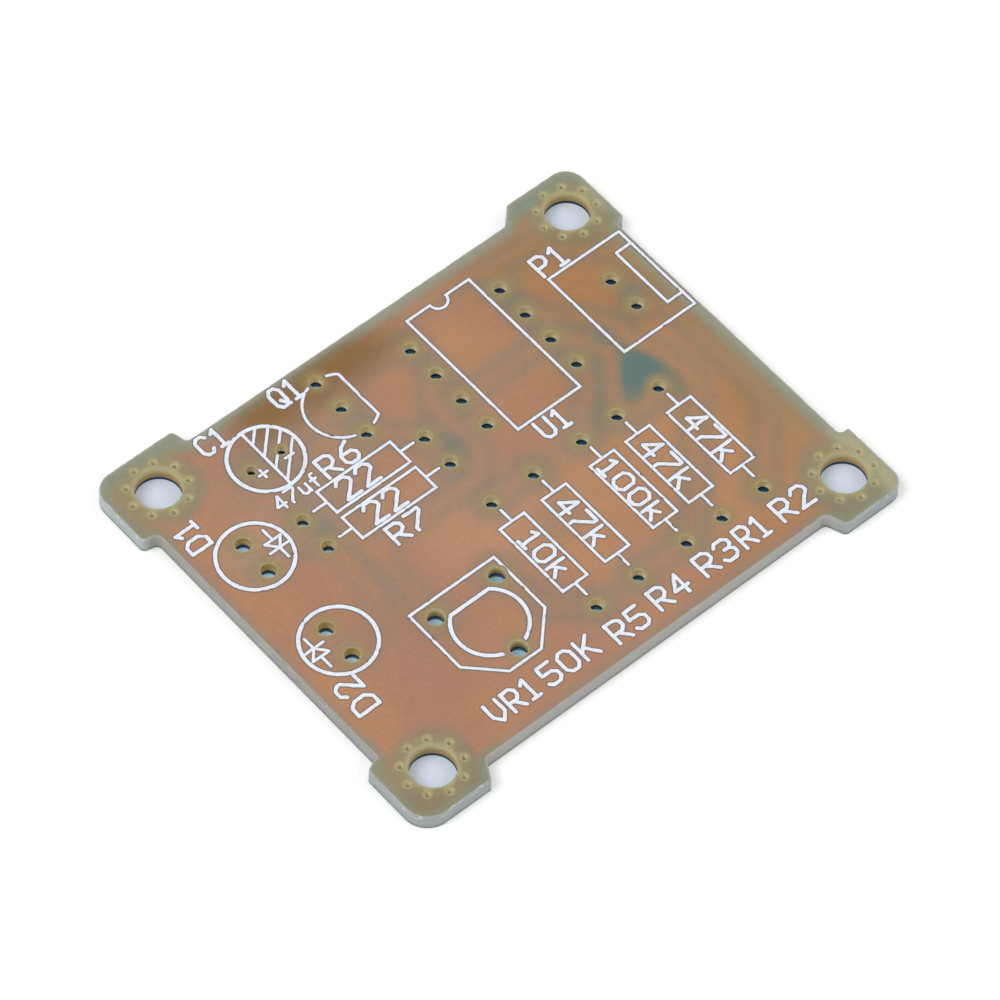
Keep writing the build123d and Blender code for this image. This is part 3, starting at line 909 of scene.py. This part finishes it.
def hole_tinted(paint, colour):
    """A colour with a paler, yellower painted glow round the holes, and a painted highlight right at each
    rim.
    """
    lead, ringlet = paint.value("lead"), paint.value("ringlet")
    # Painted glow round the lead holes, and a painted highlight right at their rims
    colour = paint.mix(paint.ramp(lead, 0, lead_glow_reach, 0.7, 0), colour, srgb(150, 134, 90))
    colour = paint.mix(paint.ramp(lead, 0.03, 0.14, 0.32, 0), colour, srgb(190, 182, 142))
    # Painted glow round the mounting holes and the ring holes near them
    collar = paint.plus(paint.value("collar"), paint.ramp(paint.noise(0.7, 2), 0.3, 0.7, -0.1, 0.1))
    colour = paint.mix(paint.ramp(collar, 0.3, 1.2, 0.32, 0), colour, srgb(152, 142, 103))
    petals = paint.math("SMOOTH_MIN", collar, paint.plus(ringlet, 0.1), 0.3)
    colour = paint.mix(paint.ramp(petals, 0.02, 0.4, 0.55, 0), colour, srgb(165, 158, 114))
    # Painted highlights right at the rims of the mounting and ring holes
    colour = paint.mix(paint.ramp(collar, 0.04, 0.24, 0.3, 0), colour, srgb(184, 179, 144))
    return paint.mix(paint.ramp(ringlet, 0.02, 0.24, 0.32, 0), colour, srgb(184, 178, 136))


def cloth(paint, x, y):
    """Glass cloth: crossing threads, broken into dashes."""
    sway = paint.times(paint.noise(2.2, 2), 0.5)
    rows, columns = (paint.math("SINE", paint.times(paint.plus(axis, sway), 2 * math.pi / pitch))
                     for axis, pitch in ((y, 0.47), (x, 0.55)))
    crossed = paint.most(rows, paint.times(columns, 0.6))
    dashes = paint.ramp(paint.noise(0.32, 2, 0.5), 0.35, 0.65)
    return paint.times(paint.ramp(crossed, 0.2, 1.0), dashes)


def laminate_paint():
    """The upper face: copper seen hazily through yellowish glass cloth and resin."""
    paint = Paint("laminate_face", Specular_IOR_Level=0.28)
    x, y, z = paint.axes()
    mottle = paint.noise(3.4, 3, 0.55)
    rim_light = painted_rim_light(paint, x, y)
    bare = bare_tone(paint, x, y, mottle, rim_light)
    colour = paint.mix(gap_share(paint, x, y, mottle), copper_tone(paint, x), gap_tone(paint, x, bare))
    colour = clouded(paint, colour)
    # Where the painted sheen lies, on the far side of the board
    far_sheen = paint.ramp(paint.plus(x, paint.times(y, 1.2)), -6, 6)
    colour = edge_tinted(paint, colour, x, y, far_sheen, rim_light)
    colour = hole_tinted(paint, colour)
    # The rim itself is palest: a painted sheen that grows towards the far side, and a pale brink all round
    rim = paint.times(paint.ramp(paint.value("brink"), 0.15, 0.6, 0.65, 0), far_sheen)
    colour = paint.mix(rim, colour, srgb(150, 150, 134))
    colour = paint.mix(paint.ramp(paint.value("brink"), 0.04, 0.2, 0.55, 0), colour, srgb(180, 182, 168))
    # The cloth shows faintly, most at the left end
    weave, grain = cloth(paint, x, y), paint.noise(0.35, 3, 0.6)
    threads = paint.times(weave, paint.ramp(x, 6, -15, 0.015, 0.055))
    shade = paint.plus(paint.ramp(grain, 0.2, 0.8, 0.95, 1.04), threads)
    shade = paint.times(shade, paint.ramp(mottle, 0.2, 0.8, 0.96, 1.02))
    colour = paint.mix(1.0, colour, paint.grey(shade), "MULTIPLY")
    paint.bump(paint.plus(paint.times(weave, 0.5), grain), 0.12, 0.02)
    return paint.finish(colour, paint.ramp(mottle, 0.2, 0.8, 0.38, 0.5))


def edge_paint():
    """The cut edge: pale broken glass fibre in layers, lighter and chipped on the snapped ears; painted light
    makes the body's side at the lower edge and the ears towards the upper edge lighter.
    """
    paint = Paint("laminate_edge")
    x, y, z = paint.axes()
    layers = paint.noise(0.5, 3, 0.6, (0.35, 0.35, 6))
    specks = paint.noise(0.12, 2, 0.6)
    patches = paint.noise(2.6, 2, 0.5)
    chips = paint.noise(0.55, 3, 0.6)
    snapped = paint.value("snapped")
    body = paint.mix(paint.ramp(layers, 0.3, 0.7), srgb(144, 142, 134), srgb(168, 166, 160))
    # Painted light: the body's side along the lower edge is lighter
    body = paint.mix(paint.ramp(y, -14, -14.8, 0, 0.6), body, srgb(176, 175, 172))
    ear = paint.mix(paint.ramp(layers, 0.3, 0.7), srgb(151, 160, 157), srgb(180, 188, 188))
    # Painted light: the ears' sides are lighter towards the upper edge and darker towards the lower one
    ear = paint.mix(1.0, ear, paint.grey(paint.ramp(y, -12, 12, 0.92, 1.1)), "MULTIPLY")
    colour = paint.mix(snapped, body, ear)
    colour = paint.mix(paint.ramp(patches, 0.45, 0.7, 0, 0.4), colour, srgb(168, 172, 169))
    colour = paint.mix(paint.ramp(specks, 0.6, 0.72, 0, 0.4), colour, srgb(202, 205, 203))
    white = paint.times(paint.ramp(chips, 0.55, 0.68), paint.ramp(z, 0.75, 1.0, 0, 0.8))
    colour = paint.mix(paint.times(white, snapped), colour, srgb(226, 230, 228))
    colour = paint.mix(paint.ramp(z, 0.1, 0.4, 0.35, 0), colour, srgb(118, 126, 126))
    paint.bump(paint.plus(layers, specks), 0.35, 0.03)
    return paint.finish(colour, paint.ramp(specks, 0.3, 0.7, 0.55, 0.75))


def bore_paint():
    """A drilled wall: pale resin at the top, then light and shade painted into the colour lower down, dark
    towards the underside.
    """
    paint = Paint("laminate_bore", Specular_IOR_Level=0.1)
    x, y, z = paint.axes()
    rings = paint.noise(0.3, 3, 0.6, (0.5, 0.5, 5))
    narrow, bore_shade = paint.value("narrow"), paint.value("bore_shade")
    lead, ring = paint.ramp(narrow, 0, 0.12), paint.ramp(narrow, 0.7, 0.95)
    pale = paint.mix(paint.ramp(x, -14, -9), srgb(172, 149, 96), srgb(196, 176, 128))
    pale = paint.mix(ring, paint.mix(lead, srgb(210, 198, 150), pale), srgb(220, 213, 168))
    # Lower down the wall is painted paler in the mounting and ring holes, a painted glow of light through the
    # laminate, and darker in the lead holes, painted shade
    deep = paint.mix(paint.ramp(x, -14, -9), srgb(222, 198, 134), srgb(255, 243, 206))
    deep = paint.mix(ring, paint.mix(lead, srgb(182, 153, 100), deep), srgb(255, 253, 232))
    start, end = paint.ramp(lead, 0, 1, 1.0, 1.15), paint.ramp(lead, 0, 1, 0.45, 0.6)
    colour = paint.mix(paint.ramp(z, start, end), pale, deep)
    colour = paint.mix(paint.ramp(rings, 0.3, 0.7, 0, 0.06), colour, srgb(180, 164, 112))
    # Painted shade towards the underside, then a paler painted light at the very bottom, bluish from the
    # table below the mounting and lead holes
    shadow = paint.mix(ring, srgb(26, 66, 98), srgb(172, 148, 88))
    colour = paint.mix(paint.ramp(bore_shade, 0.0, 0.12), colour, shadow)
    lowest = paint.mix(ring, srgb(104, 168, 204), srgb(160, 138, 84))
    colour = paint.mix(paint.ramp(bore_shade, 0.3, 0.8), colour, lowest)
    paint.bump(rings, 0.06, 0.02)
    return paint.finish(colour, paint.ramp(rings, 0.3, 0.7, 0.5, 0.7))


def edge_shade_paint():
    """A thin dark fringe round the ink: painted shade along its edges."""
    paint = Paint("ink_fringe", Specular_IOR_Level=0.25)
    x, y, z = paint.axes()
    patches = paint.noise(1.1, 2, 0.5)
    colour = paint.mix(paint.ramp(x, -16, 18), srgb(127, 109, 100), srgb(125, 108, 96))
    colour = paint.mix(paint.ramp(patches, 0.35, 0.65, 0, 0.5), colour, srgb(120, 110, 104))
    paint.bump(patches, 0.1, 0.01)
    return paint.finish(colour, paint.ramp(patches, 0.3, 0.7, 0.4, 0.5))


def ink_paint():
    """White printed ink, slightly cold and uneven."""
    paint = Paint("ink_white", Specular_IOR_Level=0.25)
    thin = paint.noise(0.22, 3, 0.6)
    blots = paint.noise(1.3, 2)
    colour = paint.mix(paint.ramp(thin, 0.3, 0.66), srgb(217, 223, 235), srgb(235, 241, 250))
    colour = paint.mix(paint.ramp(blots, 0.5, 0.8, 0, 0.4), colour, srgb(232, 236, 245))
    paint.bump(thin, 0.25, 0.012)
    return paint.finish(colour, paint.ramp(thin, 0.3, 0.7, 0.5, 0.66))


def mask_paint():
    """Green solder mask: lighter and raised over the copper."""
    paint = Paint("mask_green", Coat_Weight=0.4, Coat_Roughness=0.15)
    mottle = paint.noise(1.6, 3)
    over = paint.ramp(paint.value("cover"), 0.15, 0.85)
    colour = paint.mix(over, srgb(28, 70, 48), srgb(38, 112, 66))
    colour = paint.mix(paint.ramp(mottle, 0.35, 0.75, 0, 0.35), colour, srgb(30, 92, 60))
    paint.bump(paint.plus(over, paint.times(mottle, 0.15)), 0.6, 0.03)
    return paint.finish(colour, paint.ramp(mottle, 0.3, 0.7, 0.24, 0.36))


def copper_paint():
    """Copper, tinned where it faces down at the pads."""
    paint = Paint("copper_tinned", Metallic=1.0)
    facing = paint.split(paint.node("ShaderNodeNewGeometry", "Normal"))
    patches = paint.noise(0.5, 3, 0.6)
    tin = paint.mix(paint.ramp(patches, 0.3, 0.7), srgb(176, 178, 180), srgb(206, 207, 206))
    bare = paint.mix(paint.ramp(patches, 0.3, 0.7), srgb(196, 120, 82), srgb(214, 142, 104))
    colour = paint.mix(paint.ramp(facing[2], -0.6, -0.4), tin, bare)
    paint.bump(patches, 0.25, 0.03)
    return paint.finish(colour, paint.ramp(patches, 0.3, 0.7, 0.25, 0.42))


# The board

ink, edge_shade = ink_paint(), edge_shade_paint()
laminate([laminate_paint(), edge_paint(), bore_paint()])
film([mask_paint()])
tinned = copper_paint()
for node in copper_nodes:
    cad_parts[node].data.materials.clear()
    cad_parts[node].data.materials.append(tinned)
for node in legend_nodes:
    printed_outline(node, ink, edge_shade)
strokes = [(line, letter_stroke) for word in words for line in word_lines(*word, letter_stroke)]
printed_strokes("print_words", strokes, letter_height_share, ink)
small_strokes = [(line, symbol_stroke) for line in word_lines(*small_word, symbol_stroke) + mark_strokes]
printed_strokes("print_marks", small_strokes, letter_height_share ** 2, ink)
# A dark fringe round every stroke too: painted shade along the ink's edges
wide_strokes = [(line, width + 2 * edge_shade_width) for line, width in strokes + small_strokes]
printed_strokes("print_words_fringe", wide_strokes, edge_shade_height_share * letter_height_share, edge_shade)


# Stage: a white floor, the pale table right under the board, lights and camera

def seen_share(tree):
    """1 for what the camera sees, also in a gloss or through glass, and 0 for the light on things."""
    path = tree.nodes.new("ShaderNodeLightPath")
    share = path.outputs["Is Camera Ray"]
    for ray in ("Is Glossy Ray", "Is Transmission Ray"):
        either = tree.nodes.new("ShaderNodeMath")
        either.operation = "MAXIMUM"
        tree.links.new(share, either.inputs[0])
        tree.links.new(path.outputs[ray], either.inputs[1])
        share = either.outputs[0]
    return share


def stage_material(name, colour, lift):
    """A matt colour that is lifted for the camera."""
    paint = Paint(name, Base_Color=colour, Emission_Color=colour, Roughness=stage_roughness,
                  Specular_IOR_Level=0.0)
    paint.put(paint.shader.inputs["Emission Strength"], paint.times(seen_share(paint.tree), lift))
    return paint.material


def stage_plane(name, corners, level, material):
    mesh = bpy.data.meshes.new(name)
    mesh.from_pydata([(x * mm, y * mm, level * mm) for x, y in corners], [], [list(range(len(corners)))])
    mesh.materials.append(material)
    plane = bpy.data.objects.new(name, mesh)
    bpy.context.scene.collection.objects.link(plane)


floor_corners = [(x * floor_half, y * floor_half) for x, y in ((-1, -1), (1, -1), (1, 1), (-1, 1))]
stage_plane("floor", floor_corners, floor_level, stage_material("floor", floor_colour, floor_lift))
table_open = stage_material("table_open", srgb(199, 209, 225), table_open_lift)
# Under the smaller holes the table is painted darker, the board's painted shade on it, most towards the right
table_least_shaded, table_most_shaded = srgb(165, 195, 208), srgb(85, 135, 165)
for number, (x, y, r) in enumerate(drills):
    material = table_open
    if not is_mount(r):
        shade = [np.interp(x, table_ends, pair) for pair in zip(table_least_shaded, table_most_shaded)]
        material = stage_material(f"table_{number}", shade, table_lift)
    disc = ring_points(x, y, r + table_margin, hole_sides(r))
    stage_plane(f"table_{number}", [tuple(p) for p in disc], table_level, material)

scene = bpy.context.scene
for name, place, size, power in lamps:
    data = bpy.data.lights.new(name, "AREA")
    data.shape = "DISK"
    data.size = size * mm
    data.energy = power
    lamp = bpy.data.objects.new(name, data)
    lamp.location = Vector(place) * mm
    lamp.rotation_euler = (-Vector(place)).to_track_quat("-Z", "Y").to_euler()
    scene.collection.objects.link(lamp)

world = bpy.data.worlds.new("studio")
scene.world = world
world.use_nodes = True
sky = world.node_tree.nodes["Background"]
sky.inputs["Color"].default_value = (1, 1, 1, 1)
level = world.node_tree.nodes.new("ShaderNodeMapRange")
level.inputs["To Min"].default_value = sky_light
level.inputs["To Max"].default_value = sky_seen
world.node_tree.links.new(seen_share(world.node_tree), level.inputs["Value"])
world.node_tree.links.new(level.outputs[0], sky.inputs["Strength"])

azimuth, elevation, roll = (math.radians(a) for a in (camera_azimuth, camera_elevation, camera_roll))
back = Vector((-math.sin(azimuth) * math.cos(elevation), -math.cos(azimuth) * math.cos(elevation),
               math.sin(elevation)))
level_right = Vector((math.cos(azimuth), -math.sin(azimuth), 0))
right = level_right * math.cos(roll) + back.cross(level_right) * math.sin(roll)
up = back.cross(right)
camera = bpy.data.objects.new("camera", bpy.data.cameras.new("camera"))
camera.data.sensor_width = sensor_width
camera.data.lens = lens_length
camera.data.clip_start, camera.data.clip_end = (reach * mm for reach in camera_clip)
camera_place = (Vector(camera_aim) + back * camera_distance) * mm
camera.matrix_world = Matrix.Translation(camera_place) @ Matrix((right, up, back)).transposed().to_4x4()
scene.collection.objects.link(camera)
scene.camera = camera
scene.view_settings.view_transform = "Standard"
